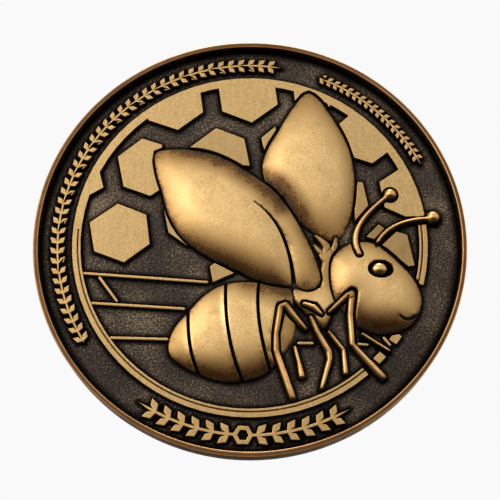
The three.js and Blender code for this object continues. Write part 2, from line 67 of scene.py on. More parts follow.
CAMERA_BELOW = math.radians(17.4)
CAMERA_DISTANCE = 122 * MM
COIN_SHARE_OF_PICTURE = 0.86
AIM_BELOW_MIDDLE = 0.8 * MM
camera_data = bpy.data.cameras.new("camera")
camera_data.sensor_width = 36
camera_data.lens = camera_data.sensor_width * CAMERA_DISTANCE * COIN_SHARE_OF_PICTURE / coin_width
camera_data.clip_start = 0.005
camera = bpy.data.objects.new("camera", camera_data)
bpy.context.scene.collection.objects.link(camera)
away = Vector((0, -math.cos(CAMERA_BELOW), -math.sin(CAMERA_BELOW)))
aim = coin_middle - Vector((0, 0, AIM_BELOW_MIDDLE))
camera.location = aim + away * CAMERA_DISTANCE
camera.rotation_euler = (-away).to_track_quat("-Z", "Y").to_euler()
bpy.context.scene.camera = camera
bpy.context.scene.view_settings.view_transform = "Standard"

FLOOR_BELOW_COIN = 26 * MM
bpy.ops.mesh.primitive_plane_add(size=4, location=(0, 0, coin_low.z - FLOOR_BELOW_COIN))
floor = bpy.context.object
floor.name = "floor"
floor.visible_glossy = False
floor_paint = bpy.data.materials.new("pale floor")
floor_paint.use_nodes = True
floor_shader = floor_paint.node_tree.nodes["Principled BSDF"]
floor_shader.inputs["Base Color"].default_value = (0.86, 0.86, 0.85, 1)
floor_shader.inputs["Roughness"].default_value = 0.9
floor.data.materials.append(floor_paint)


def soft_light(name, place, size, power):
    data = bpy.data.lights.new(name, "AREA")
    data.shape = "DISK"
    data.size = size
    data.energy = power
    light = bpy.data.objects.new(name, data)
    bpy.context.scene.collection.objects.link(light)
    light.location = place
    light.rotation_euler = (coin_middle - Vector(place)).to_track_quat("-Z", "Y").to_euler()


soft_light("left of the obverse", (-0.26, -0.31, 0.15), 0.34, 0.35)
soft_light("left of the reverse", (0.26, 0.31, 0.15), 0.34, 0.35)
soft_light("overhead", (0, 0, 0.42), 0.3, 1.0)


def node_maker(tree):
    """Short ways to add and wire the nodes of one shader."""
    def add(kind, **values):
        node = tree.nodes.new(kind)
        for key, value in values.items():
            if key in node.inputs:
                node.inputs[key].default_value = value
            else:
                setattr(node, key, value)
        return node

    def wire(source, target, key):
        tree.links.new(source, target.inputs[key])

    return add, wire


def ramp(add, wire, value, stops):
    """A colour ramp over value; stops are (place, colour) pairs in rising order."""
    node = add("ShaderNodeValToRGB")
    first, last = node.color_ramp.elements
    first.position, first.color = stops[0][0], (*stops[0][1], 1)
    last.position, last.color = stops[-1][0], (*stops[-1][1], 1)
    for place, colour in stops[1:-1]:
        node.color_ramp.elements.new(place).color = (*colour, 1)
    wire(value, node, 0)
    return node.outputs[0]


def calc(add, wire, kind, a, b, c=None):
    """One maths node; each of a, b and c is a number or another node's output."""
    node = add("ShaderNodeMath", operation=kind)
    for i, value in enumerate((a, b, c)):
        if isinstance(value, (int, float)):
            node.inputs[i].default_value = value
        elif value is not None:
            wire(value, node, i)
    return node.outputs[0]


def mapped(add, wire, value, low, high, to_low, to_high, kind="LINEAR"):
    node = add("ShaderNodeMapRange", interpolation_type=kind)
    wire(value, node, "Value")
    for key, number in (("From Min", low), ("From Max", high), ("To Min", to_low), ("To Max", to_high)):
        node.inputs[key].default_value = number
    return node.outputs[0]


def mixed(add, wire, share, first, second, kind="MIX"):
    """Two colours mixed by share; each is an RGB tuple or another node's output."""
    node = add("ShaderNodeMix", data_type="RGBA", blend_type=kind)
    if isinstance(share, (int, float)):
        node.inputs["Factor"].default_value = share
    else:
        wire(share, node, "Factor")
    for socket, colour in ((6, first), (7, second)):
        if isinstance(colour, tuple):
            node.inputs[socket].default_value = (*colour, 1)
        else:
            wire(colour, node, socket)
    return node.outputs[2]


# The room is pale all round, a little brighter to the left of whichever face is looked at, and dark
# low down in front of each face, which is what draws the undersides of the relief.
ROOM_LEVEL = 0.93
ROOM_SIDEWAYS = 0.55
DARK_LOW = (
    (0.0, (0.030, 0.018, 0.010)), (0.32, (0.045, 0.027, 0.014)), (0.41, (0.13, 0.088, 0.054)),
    (0.465, (0.50, 0.43, 0.36)), (0.53, (0.80, 0.75, 0.69)), (0.62, (1.0, 1.0, 1.0)))
REST_LOW = (
    (0.0, (0.30, 0.28, 0.26)), (0.30, (0.48, 0.46, 0.44)), (0.47, (0.80, 0.79, 0.78)),
    (0.56, (1, 1, 1)))
IN_FRONT = (0.42, 0.74)
BACKDROP = 0.95
world = bpy.data.worlds.new("studio")
bpy.context.scene.world = world
world.use_nodes = True
world.node_tree.nodes.clear()
add, wire = node_maker(world.node_tree)
split = add("ShaderNodeSeparateXYZ")
wire(add("ShaderNodeTexCoord").outputs["Generated"], split, 0)
sideways = calc(add, wire, "MULTIPLY", split.outputs["X"], split.outputs["Y"])
sideways = calc(add, wire, "MULTIPLY_ADD", sideways, ROOM_SIDEWAYS, ROOM_LEVEL)
upward = calc(add, wire, "MULTIPLY_ADD", split.outputs["Z"], 0.5, 0.5)
low_in_front = ramp(add, wire, upward, DARK_LOW)
low_elsewhere = ramp(add, wire, upward, REST_LOW)
facing = calc(add, wire, "MULTIPLY", split.outputs["Y"], split.outputs["Y"])
facing = mapped(add, wire, facing, *IN_FRONT, 0.0, 1.0, "SMOOTHSTEP")
by_height = mixed(add, wire, facing, low_elsewhere, low_in_front)
room = add("ShaderNodeBackground")
wire(by_height, room, "Color")
wire(sideways, room, "Strength")
backdrop = add("ShaderNodeBackground")
backdrop.inputs["Color"].default_value = (BACKDROP, BACKDROP, BACKDROP, 1)
choose = add("ShaderNodeMixShader")
wire(add("ShaderNodeLightPath").outputs["Is Camera Ray"], choose, 0)
wire(room.outputs[0], choose, 1)
wire(backdrop.outputs[0], choose, 2)
wire(choose.outputs[0], add("ShaderNodeOutputWorld"), 0)

# The blank: the struck bronze disc. Both of its fields are stippled and darkened with patina. Close to every
# raised shape they turn black with patina, thickest where the polishing wheel can't reach, and with painted
# shade; close to the lip the black is painted shade of the lip.
blank_low, blank_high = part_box("blank")
OBVERSE_FIELD = blank_low.y
REVERSE_FIELD = blank_high.y
OBVERSE, REVERSE = -1, 1


def to_coin(u, v, rise, side):
    """The place on the coin of a point drawn on a face, u to the right, v up and rise off the field."""
    if side == OBVERSE:
        return (u * MM, OBVERSE_FIELD - rise * MM, v * MM)
    return (-u * MM, REVERSE_FIELD + rise * MM, v * MM)


def field_level(side):
    return OBVERSE_FIELD if side == OBVERSE else REVERSE_FIELD


def lies_on(level, part):
    """Whether an edge or a face lies in the plane of a field."""
    return all(abs(v.co.y - level) < 0.02 * MM for v in part.verts)


def footprints(names, side):
    """The outlines on the field of CAD pieces, as rows of u1, v1, u2, v2 in millimetres."""
    rows = []
    level = field_level(side)
    for name in names:
        copy = bmesh.new()
        copy.from_mesh(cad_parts[name].data)
        bmesh.ops.remove_doubles(copy, verts=copy.verts, dist=0.001 * MM)
        for edge in copy.edges:
            if lies_on(level, edge) and len(edge.link_faces) == 2:
                one, two = (abs(f.normal.y) > 0.98 and lies_on(level, f) for f in edge.link_faces)
                if one != two:
                    a, b = (v.co / MM for v in edge.verts)
                    rows.append((a.x * -side, a.z, b.x * -side, b.z))
        copy.free()
    return np.array(rows)


def distance_to(points, rows):
    """How far each point is from the nearest of the line pieces in rows."""
    best = np.full(len(points), 1e9)
    for start in range(0, len(rows), 40):
        part = rows[start:start + 40]
        a = part[:, 0:2][None]
        d = part[:, 2:4][None] - a
        p = points[:, None, :] - a
        length = np.maximum((d ** 2).sum(-1), 1e-9)
        t = np.clip((p * d).sum(-1) / length, 0, 1)
        gap = p - t[..., None] * d
        best = np.minimum(best, np.sqrt((gap ** 2).sum(-1)).min(1))
    return best


relief_names = {OBVERSE: [], REVERSE: []}
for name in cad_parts:
    if name not in ("blank", "rim"):
        in_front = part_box(name)[1].y < (OBVERSE_FIELD + REVERSE_FIELD) / 2
        relief_names[OBVERSE if in_front else REVERSE].append(name)
relief_edges = {side: footprints(relief_names[side], side) for side in (OBVERSE, REVERSE)}

BLANK_RADIUS = blank_high.x / MM
FIELD_RINGS = 84
FIELD_STEPS = 288


def bare_object(name, mesh):
    piece = bpy.data.objects.new(name, mesh)
    bpy.context.scene.collection.objects.link(piece)
    return piece


def edit(piece):
    """Opens one piece for modelling, with nothing else selected."""
    if bpy.context.object and bpy.context.object.mode != "OBJECT":
        bpy.ops.object.mode_set(mode="OBJECT")
    bpy.ops.object.select_all(action="DESELECT")
    piece.select_set(True)
    bpy.context.view_layer.objects.active = piece
    bpy.ops.object.mode_set(mode="EDIT")


def select_faces(piece, test):
    """Selects the faces of the piece in edit mode whose centre and normal pass the test."""
    work = bmesh.from_edit_mesh(piece.data)
    work.select_mode = {"FACE"}
    bpy.context.tool_settings.mesh_select_mode = (False, False, True)
    for face in work.faces:
        face.select = bool(test(face.calc_center_median(), face.normal))
    work.select_flush_mode()
    bmesh.update_edit_mesh(piece.data)


def done(piece, smooth_angle=35):
    bpy.ops.object.mode_set(mode="OBJECT")
    bpy.ops.object.shade_smooth_by_angle(angle=math.radians(smooth_angle))


def build_blank():
    """A disc whose two fields are cut into rings, fine enough to hold the patina and painted shade beside
    the relief.
    """
    thickness = REVERSE_FIELD - OBVERSE_FIELD
    bpy.ops.mesh.primitive_cylinder_add(
        vertices=FIELD_STEPS, radius=BLANK_RADIUS * MM, depth=thickness, end_fill_type="NGON",
        location=(0, (REVERSE_FIELD + OBVERSE_FIELD) / 2, 0), rotation=(math.radians(90), 0, 0),
    )
    piece = bpy.context.object
    piece.name = "struck_blank"
    bpy.ops.object.transform_apply(location=True, rotation=True, scale=True)
    edit(piece)
    for side in (OBVERSE, REVERSE):
        select_faces(piece, lambda centre, normal: normal.y * side > 0.9)
        step = BLANK_RADIUS * MM / (FIELD_RINGS + 1)
        for ring in range(FIELD_RINGS):
            bpy.ops.mesh.inset(thickness=step)
        bpy.ops.mesh.poke()
    done(piece)
    return piece


blank = build_blank()


def metal(name):
    """A new metal material, its Principled shader, and its node helpers."""
    material = bpy.data.materials.new(name)
    material.use_nodes = True
    add, wire = node_maker(material.node_tree)
    shader = material.node_tree.nodes["Principled BSDF"]
    shader.inputs["Metallic"].default_value = 1.0
    return material, shader, add, wire


# Black of patina and painted shade, for the fields and the relief.
BLACK_PATINA_AND_SHADE = (0.0045, 0.0036, 0.003)


def field_metal(name, deep, middle, spark, spark_from, gap_from, gap_to):
    """Stippled bronze under brown patina, rubbed on its grain tips, and black beside the relief and the lip
    with patina and painted shade.
    """
    material, shader, add, wire = metal(name)
    place = add("ShaderNodeTexCoord").outputs["Object"]
    gap = add("ShaderNodeAttribute", attribute_name="gap_mm").outputs["Fac"]
    grain = add("ShaderNodeTexNoise", Scale=5200.0, Detail=2.5, Roughness=0.6)
    clouds = add("ShaderNodeTexNoise", Scale=170.0, Detail=3.0)
    pits = add("ShaderNodeTexVoronoi", Scale=4300.0)
    for pattern in (grain, clouds, pits):
        wire(place, pattern, "Vector")
    patches = mapped(add, wire, clouds.outputs["Fac"], 0.32, 0.68, -0.11, 0.11)
    level = calc(add, wire, "ADD", patches, grain.outputs["Fac"])
    colour = ramp(add, wire, level, (
        (spark_from - 0.22, deep), (spark_from, middle), (spark_from + 0.17, spark),
    ))
    # Painted shade and patina: the field turns black close to the relief, and close to the lip, where it is
    # painted shade.
    clear = mapped(add, wire, gap, gap_from, gap_to, 0.0, 1.0, "SMOOTHSTEP")
    wire(mixed(add, wire, clear, BLACK_PATINA_AND_SHADE, colour), shader, "Base Color")
    wire(mapped(add, wire, grain.outputs["Fac"], 0.3, 0.7, 0.62, 0.42), shader, "Roughness")
    height = calc(add, wire, "MULTIPLY_ADD", pits.outputs["Distance"], 0.6, grain.outputs["Fac"])
    bump = add("ShaderNodeBump", Strength=0.7, Distance=0.00007)
    wire(height, bump, "Height")
    wire(bump.outputs[0], shader, "Normal")
    return material


obverse_field_metal = field_metal(
    "dark stippled bronze", (0.034, 0.027, 0.022), (0.084, 0.064, 0.050), (0.30, 0.22, 0.135),
    spark_from=0.54, gap_from=0.12, gap_to=0.72)
reverse_field_metal = field_metal(
    "brown stippled bronze", (0.070, 0.050, 0.027), (0.19, 0.138, 0.075), (0.46, 0.34, 0.19),
    spark_from=0.50, gap_from=0.05, gap_to=0.8)


def set_values(piece, name, values, domain="POINT"):
    """Stores one number for each point of the piece, or each corner of its faces, for its material."""
    attribute = piece.data.attributes.new(name, "FLOAT", domain)
    attribute.data.foreach_set("value", np.asarray(values, np.float32))


LIP_SHADE = 0.62
FAR_FROM_RELIEF = 5.0


def dress_blank():
    """Stores how far each point of the fields is from the relief, or from the lip that shades it."""
    places = np.array([v.co for v in blank.data.vertices]) / MM
    gaps = np.full(len(places), FAR_FROM_RELIEF)
    for side in (OBVERSE, REVERSE):
        level = field_level(side) / MM
        on_face = np.abs(places[:, 1] - level) < 0.01
        flat = np.stack([places[on_face, 0] * -side, places[on_face, 2]], 1)
        to_lip = (BLANK_RADIUS - np.hypot(flat[:, 0], flat[:, 1])) * LIP_SHADE
        gaps[on_face] = np.minimum(distance_to(flat, relief_edges[side]), to_lip)
    set_values(blank, "gap_mm", gaps)
    blank.data.materials.clear()
    blank.data.materials.append(obverse_field_metal)
    blank.data.materials.append(reverse_field_metal)
    for face in blank.data.polygons:
        face.material_index = 1 if face.normal.y > 0.5 else 0


dress_blank()
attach(blank, "root")
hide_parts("blank")

# The rim: the coin's upset edge, one turned ring. Its wall is plain satin bronze, and handling has
# rubbed the corners of both lips through the brown to bright copper.
RIM_STEPS = 360
RIM_RADIUS = coin_high.x / MM
HALF_THICKNESS = coin_high.y / MM
LIP_ROUNDING = 0.15
ROUNDING_STEPS = 6


def build_rim():
    """Turns the rounded section of the rim once round the coin's axis."""
    profile = []
    inner, outer = BLANK_RADIUS + LIP_ROUNDING, RIM_RADIUS - LIP_ROUNDING
    front, back = -HALF_THICKNESS + LIP_ROUNDING, HALF_THICKNESS - LIP_ROUNDING
    for r, y, turn in ((inner, front, 180), (outer, front, 270), (outer, back, 0), (inner, back, 90)):
        for i in range(ROUNDING_STEPS + 1):
            angle = math.radians(turn + 90 * i / ROUNDING_STEPS)
            profile.append((r + LIP_ROUNDING * math.cos(angle), y + LIP_ROUNDING * math.sin(angle)))
    bpy.ops.mesh.primitive_circle_add(vertices=len(profile), radius=MM)
    piece = bpy.context.object
    piece.name = "turned_rim"
    for vertex, (r, y) in zip(piece.data.vertices, profile):
        vertex.co = (r * MM, y * MM, 0)
    edit(piece)
    bpy.ops.mesh.select_all(action="SELECT")
    bpy.ops.mesh.spin(steps=RIM_STEPS, angle=math.radians(360), center=(0, 0, 0), axis=(0, 1, 0))
    bpy.ops.mesh.select_all(action="SELECT")
    bpy.ops.mesh.remove_doubles(threshold=1e-6)
    bpy.ops.mesh.normals_make_consistent(inside=False)
    done(piece, 60)
    return piece


rim = build_rim()


def rim_metal():
    material, shader, add, wire = metal("rubbed edge bronze")
    place = add("ShaderNodeTexCoord").outputs["Object"]
    apart = add("ShaderNodeSeparateXYZ")
    wire(place, apart, 0)
    smudge = add("ShaderNodeTexNoise", Scale=330.0, Detail=5.0, Roughness=0.6)
    wire(place, smudge, "Vector")
    off_centre = calc(add, wire, "ABSOLUTE", apart.outputs["Y"], 0)
    worn = mapped(add, wire, off_centre, 0.0, HALF_THICKNESS * MM, 0.0, 1.0)
    copper = ramp(add, wire, worn, (
        (0.0, (0.20, 0.145, 0.092)), (0.86, (0.18, 0.118, 0.066)), (0.92, (0.46, 0.215, 0.08)),
        (0.966, (0.95, 0.52, 0.20)), (0.990, (0.62, 0.31, 0.115)), (0.9985, (0.17, 0.092, 0.042)),
    ))
    grime = mapped(add, wire, smudge.outputs["Fac"], 0.35, 0.65, 0.78, 1.12)
    wire(mixed(add, wire, 1.0, copper, grime, "MULTIPLY"), shader, "Base Color")
    stretched = add("ShaderNodeMapping")
    stretched.inputs["Scale"].default_value = (1, 0.12, 1)
    wire(place, stretched, "Vector")
    streaks = add("ShaderNodeTexNoise", Scale=1500.0, Detail=2.0)
    wire(stretched.outputs[0], streaks, "Vector")
    wire(mapped(add, wire, streaks.outputs["Fac"], 0.3, 0.7, 0.32, 0.50), shader, "Roughness")
    bump = add("ShaderNodeBump", Strength=0.3, Distance=0.00002)
    wire(streaks.outputs["Fac"], bump, "Height")
    wire(bump.outputs[0], shader, "Normal")
    return material


rim.data.materials.append(rim_metal())
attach(rim, "root")
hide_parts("rim")

# The honeycomb: flat plates struck up from the field and rubbed on a flat wheel, so their tops are even pale
# gold, their corners are worn to a thin coppery line and their sides keep the patina, with painted shade
# that blackens them towards the field. The cells at the edge of the picture run into the inner ring without
# a joint.
PLATE_EDGE = 0.07
COPPER = (0.86, 0.44, 0.16)
# Painted highlight and wheel polish on the fullest points of the crowns.
CROWN_POLISH_AND_HIGHLIGHT = 0.30


def gold_metal(name, base, bright, dark, strokes_share, roughest):
    """Antique gold: pale where it is rubbed, coppery on worn corners, brown to black in the hollows with
    patina and painted shade.

    patina_and_shade runs from 0, rubbed clean, to 1, black, and holds both patina and painted shade; worn is
    1 along a rubbed corner, and share is 1 at the fullest point of a crown, which is painted brightest,
    partly as wheel polish and partly as a painted highlight."""
    material, shader, add, wire = metal(name)
    place = add("ShaderNodeTexCoord").outputs["Object"]
    # Patina and painted shade, held in one attribute.
    patina_and_shade = add("ShaderNodeAttribute", attribute_name="patina_and_shade").outputs["Fac"]
    worn = add("ShaderNodeAttribute", attribute_name="worn").outputs["Fac"]
    mottle = add("ShaderNodeTexNoise", Scale=620.0, Detail=6.0, Roughness=0.68)
    fine = add("ShaderNodeTexNoise", Scale=5600.0, Detail=2.0)
    for pattern in (mottle, fine):
        wire(place, pattern, "Vector")
    drawn = add("ShaderNodeMapping")
    drawn.inputs["Scale"].default_value = (1, 1, 0.13)
    wire(place, drawn, "Vector")
    strokes = add("ShaderNodeTexNoise", Scale=4200.0, Detail=2.0)
    wire(drawn.outputs[0], strokes, "Vector")
    blotch = calc(add, wire, "SUBTRACT", mottle.outputs["Fac"], 0.5)
    grain = calc(add, wire, "SUBTRACT", fine.outputs["Fac"], 0.5)
    blotch = calc(add, wire, "MULTIPLY_ADD", grain, 0.8, blotch)
    reach = calc(add, wire, "MULTIPLY_ADD", patina_and_shade, 1.3, 0.12)
    uneven = calc(add, wire, "MULTIPLY_ADD", blotch, reach, patina_and_shade)
    # Crowns painted brighter: partly wheel polish, partly painted highlight.
    polish_and_highlight = add("ShaderNodeAttribute", attribute_name="share").outputs["Fac"]
    polish_and_highlight = calc(add, wire, "MULTIPLY_ADD", polish_and_highlight, CROWN_POLISH_AND_HIGHLIGHT, mottle.outputs["Fac"])
    gold = mixed(add, wire, mapped(add, wire, polish_and_highlight, 0.32, 0.82, 0, 1), base, bright)
    edged = mixed(add, wire, calc(add, wire, "MULTIPLY", worn, 0.62), gold, COPPER)
    browned = mixed(add, wire, mapped(add, wire, uneven, 0.04, 0.52, 0, 1), edged, dark)
    # Black where patina and painted shade are heaviest.
    black = mixed(add, wire, mapped(add, wire, uneven, 0.46, 0.95, 0, 1), browned, BLACK_PATINA_AND_SHADE)
    strokes = calc(add, wire, "MULTIPLY", strokes.outputs["Fac"], strokes_share)
    speck = calc(add, wire, "ADD", strokes, fine.outputs["Fac"])
    middle = 0.5 + strokes_share / 2
    shade = mapped(add, wire, speck, middle - 0.2, middle + 0.2, 0.80, 1.12)
    wire(mixed(add, wire, 1.0, black, shade, "MULTIPLY"), shader, "Base Color")
    wire(mapped(add, wire, uneven, 0.50, 0.95, 1.0, 0.62), shader, "Metallic")
    smoothness = calc(add, wire, "MULTIPLY_ADD", patina_and_shade, 0.18, mottle.outputs["Fac"])
    wire(mapped(add, wire, smoothness, 0.35, 0.75, roughest - 0.14, roughest), shader, "Roughness")
    bump = add("ShaderNodeBump", Strength=0.22, Distance=0.00002)
    wire(speck, bump, "Height")
    wire(bump.outputs[0], shader, "Normal")
    return material


plate_gold = gold_metal(
    "rubbed plate gold", (0.62, 0.405, 0.165), (0.71, 0.475, 0.21), (0.20, 0.118, 0.045),
    strokes_share=0.35, roughest=0.50)
# Patina and painted shade on plate sides, from the field up to the shoulder.
FOOT_PATINA_AND_SHADE = 1.0
SHOULDER_PATINA_AND_SHADE = 0.42
CORNER_BAND = 0.03
FLAT = 0.9999
WELD = 0.012 * MM


def join_flat_faces():
    """Welds stray corners of the piece being edited, and joins its faces that lie in one plane."""
    bpy.ops.mesh.select_all(action="SELECT")
    bpy.ops.mesh.remove_doubles(threshold=WELD)
    bpy.ops.mesh.dissolve_limited(angle_limit=math.radians(1.0))


def merged_copy(node, name):
    """A copy of a CAD piece with its loose triangles joined into clean flat faces."""
    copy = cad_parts[node].data.copy()
    copy.materials.clear()
    piece = bare_object(name, copy)
    edit(piece)
    join_flat_faces()
    bpy.ops.object.mode_set(mode="OBJECT")
    return piece


def round_top(piece, side, edge=PLATE_EDGE):
    """Rounds the corner round the top of a plate, and keeps the top itself dead flat."""
    edit(piece)
    select_faces(piece, lambda centre, normal: normal.y * side > 0.95)
    bpy.ops.mesh.region_to_loop()
    bpy.ops.mesh.bevel(offset=edge * MM, segments=3, affect="EDGES", clamp_overlap=True)
    select_faces(piece, lambda centre, normal: normal.y * side > FLAT)
    bpy.ops.mesh.region_to_loop()
    bpy.ops.mesh.mark_sharp()
    done(piece, 50)


def dress_plate(piece, side, dull=0.0):
    """Stores the patina, painted shade and wear of a plate: its flat top is clean, its rounded corner worn
    through, and its sides are blacker with patina and painted shade the nearer they come to the field."""
    level = field_level(side)
    mesh = piece.data
    rise = np.array([(v.co.y - level) * side / MM for v in mesh.vertices])
    top = rise.max()
    patina_and_shade, worn = np.zeros(len(mesh.loops)), np.zeros(len(mesh.loops))
    for face in mesh.polygons:
        for corner in face.loop_indices:
            height = rise[mesh.loops[corner].vertex_index]
            if height > top - CORNER_BAND:
                patina_and_shade[corner] = dull
                worn[corner] = float(face.normal.y * side < FLAT)
            else:
                # Painted shade and patina: the sides blacken towards the field.
                patina_and_shade[corner] = FOOT_PATINA_AND_SHADE + (SHOULDER_PATINA_AND_SHADE - FOOT_PATINA_AND_SHADE) * max(height / top, 0)
    set_values(piece, "patina_and_shade", patina_and_shade, "CORNER")
    set_values(piece, "worn", worn, "CORNER")


def hand_over(piece, material, slot, *replaced):
    piece.data.materials.append(material)
    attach(piece, "root")
    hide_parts(*replaced)


# Cells close behind the bee have their tops made a little brown.
dull_cells = {
    "cell_behind_head": 0.24, "cell_behind_antenna": 0.30, "cell_sliver_right": 0.20,
    "cell_corner_low": 0.16, "cell_between_wings": 0.13, "cell_sliver_left": 0.12,
    "cell_sliver_top": 0.12,
}
cells = [name for name in relief_names[OBVERSE] if name.startswith("cell_")]
ring_cells = [name for name in cells if name.startswith(("cell_ring_", "cell_wedge_"))]
for node in [name for name in cells if name not in ring_cells]:
    cell = merged_copy(node, node + "_struck")
    round_top(cell, OBVERSE)
    dress_plate(cell, OBVERSE, dull_cells.get(node, 0.04))
    hand_over(cell, plate_gold, "relief_gold", node)

# The inner ring that frames the picture, joined with the cells that run into it. Where it stands
# free it is two strands, parted by an engraved line.
RING_OVERLAP = 0.25
CELLS_MEET_RING = 17.35
STRAND_LINE_RADIUS = 17.74
STRAND_LINE_WIDTH = 0.17
STRAND_LINE_DEPTH = 0.2
STRAND_LINE_STEP = 2.5
PLATE_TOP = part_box("ring_main")[0].y


def spun_groove(start, sweep, name):
    """A thin square bar bent round the coin's axis, from start on through sweep degrees."""
    bpy.ops.mesh.primitive_plane_add(size=1)
    tool = bpy.context.object
    tool.name = name
    angle = math.radians(start)
    for vertex, (across, deep) in zip(tool.data.vertices, [(-0.5, -1), (0.5, -1), (-0.5, 1), (0.5, 1)]):
        r = (STRAND_LINE_RADIUS + across * STRAND_LINE_WIDTH) * MM
        depth = deep * STRAND_LINE_DEPTH * MM
        vertex.co = (r * math.cos(angle), PLATE_TOP + depth, r * math.sin(angle))
    edit(tool)
    bpy.ops.mesh.select_all(action="SELECT")
    steps = round(sweep / STRAND_LINE_STEP)
    bpy.ops.mesh.spin(steps=steps, angle=math.radians(sweep), center=(0, 0, 0), axis=(0, 1, 0))
    bpy.ops.mesh.select_all(action="SELECT")
    bpy.ops.mesh.normals_make_consistent(inside=False)
    bpy.ops.object.mode_set(mode="OBJECT")
    return tool


def combine(piece, other, kind):
    """Joins or cuts one piece with another, and throws the other away."""
    edit(piece)
    bpy.ops.object.mode_set(mode="OBJECT")
    bpy.ops.object.modifier_add(type="BOOLEAN")
    modifier = piece.modifiers[-1]
    modifier.operation = kind
    modifier.solver = "EXACT"
    modifier.object = other
    bpy.ops.object.modifier_apply(modifier=modifier.name)
    bpy.data.objects.remove(other)


ring = merged_copy("ring_main", "inner_ring_with_cells")
for node in ring_cells:
    cell = merged_copy(node, node + "_joint")
    for vertex in cell.data.vertices:
        radius = math.hypot(vertex.co.x, vertex.co.z)
        if radius > CELLS_MEET_RING * MM:
            vertex.co.x *= 1 + RING_OVERLAP * MM / radius
            vertex.co.z *= 1 + RING_OVERLAP * MM / radius
    combine(ring, cell, "UNION")
combine(ring, spun_groove(176, 136, "long_strand_line"), "DIFFERENCE")
edit(ring)
join_flat_faces()
round_top(ring, OBVERSE, 0.05)
dress_plate(ring, OBVERSE, 0.03)
hand_over(ring, plate_gold, "relief_gold", "ring_main", *ring_cells)

ring_end = merged_copy("ring_right_end", "inner_ring_end")
combine(ring_end, spun_groove(-20, 30, "short_strand_line"), "DIFFERENCE")
round_top(ring_end, OBVERSE, 0.05)
dress_plate(ring_end, OBVERSE, 0.06)
hand_over(ring_end, plate_gold, "relief_gold", "ring_right_end")

# The ruled lines and the two stubs of the ring under the bee's front legs: narrow plates of the
# same gold, rounded over by the wheel.
for node in relief_names[OBVERSE]:
    if node.startswith("rule_") or node.endswith("_stub"):
        strip = merged_copy(node, node + "_struck")
        round_top(strip, OBVERSE, 0.08)
        dress_plate(strip, OBVERSE, 0.05)
        hand_over(strip, plate_gold, "relief_gold", node)

# The garlands: stems with pairs of leaves, struck as one plate each, with their corners rubbed
# round. Each leaf is a small pillow that catches the light on its own.
for node in relief_names[OBVERSE]:
    if node.startswith("garland_"):
        garland = merged_copy(node, node + "_struck")
        round_top(garland, OBVERSE)
        dress_plate(garland, OBVERSE, 0.02)
        hand_over(garland, plate_gold, "relief_gold", node)

# The bee: the high relief of the obverse. Each part was cut in the die with a rounded crown that falls away
# to a sunk groove; the crowns are painted bright, partly as wheel polish and partly as a painted highlight,
# and the grooves stay dark with patina and painted shade.
GRAIN = 0.2
GROOVE = 0.26
FINE_GROOVE = 0.15
SUNK = 0.05


def smooth_outline(knots, spacing=0.22):
    """A closed centripetal curve through given knots, with corners about spacing apart."""
    knots = [np.array(k, float) for k in knots]
    count = len(knots)
    points = []
    for i in range(count):
        p0, p1, p2, p3 = (knots[(i + k) % count] for k in (-1, 0, 1, 2))
        t1 = np.linalg.norm(p1 - p0) ** 0.5
        t2 = t1 + np.linalg.norm(p2 - p1) ** 0.5
        t3 = t2 + np.linalg.norm(p3 - p2) ** 0.5
        steps = max(1, round(np.linalg.norm(p2 - p1) / spacing))
        for t in t1 + (t2 - t1) * np.arange(steps) / steps:
            a1 = (t1 - t) / t1 * p0 + t / t1 * p1
            a2 = (t2 - t) / (t2 - t1) * p1 + (t - t1) / (t2 - t1) * p2
            a3 = (t3 - t) / (t3 - t2) * p2 + (t - t2) / (t3 - t2) * p3
            b1 = (t2 - t) / t2 * a1 + t / t2 * a2
            b2 = (t3 - t) / (t3 - t1) * a2 + (t - t1) / (t3 - t1) * a3
            points.append((t2 - t) / (t2 - t1) * b1 + (t - t1) / (t2 - t1) * b2)
    return np.array(points)


def round_bar(start, end, width1, width2, end_steps=9):
    """A straight stretch with round ends, wider at one end than the other if need be."""
    (x1, y1), (x2, y2) = start, end
    heading = math.atan2(y2 - y1, x2 - x1)
    points = []
    half_turn = math.pi * np.arange(end_steps + 1) / end_steps
    for x, y, half_width, aside in ((x1, y1, width1 / 2, 1), (x2, y2, width2 / 2, -1)):
        for angle in heading + aside * math.pi / 2 + half_turn:
            points.append((x + half_width * math.cos(angle), y + half_width * math.sin(angle)))
    return np.array(points)


def bars(joints, widths, extra=0.0):
    """A bent line as a chain of straight stretches, made wider by extra on each side."""
    return [
        round_bar(joints[i], joints[i + 1], widths[i] + 2 * extra, widths[i + 1] + 2 * extra)
        for i in range(len(joints) - 1)
    ]


def flowing(joints, widths, steps=15):
    """The same line drawn as one smooth curve, with its widths in proportion."""
    joints = np.array(joints, float)
    along = np.concatenate([[0], np.cumsum(np.linalg.norm(np.diff(joints, axis=0), axis=1))])
    along /= along[-1]
    fine = np.linspace(0, 1, steps)
    across = np.polyval(np.polyfit(along, joints[:, 0], 3), fine)
    up = np.polyval(np.polyfit(along, joints[:, 1], 3), fine)
    return list(zip(across, up)), list(np.interp(fine, along, widths))


def oval(x, y, half_width, half_height, steps=40):
    turns = np.linspace(0, 2 * math.pi, steps, endpoint=False)
    return np.stack([x + half_width * np.cos(turns), y + half_height * np.sin(turns)], 1)


def inside(points, loop):
    """Which points lie inside a closed loop."""
    x, y = points[:, 0], points[:, 1]
    result = np.zeros(len(points), bool)
    for (x1, y1), (x2, y2) in zip(loop, np.roll(loop, -1, axis=0)):
        crosses = (y1 > y) != (y2 > y)
        if crosses.any():
            result ^= crosses & (x < (x2 - x1) * (y - y1) / (y2 - y1 + 1e-30) + x1)
    return result


def rows_of(loops):
    return np.vstack([np.hstack([loop, np.roll(loop, -1, axis=0)]) for loop in loops])


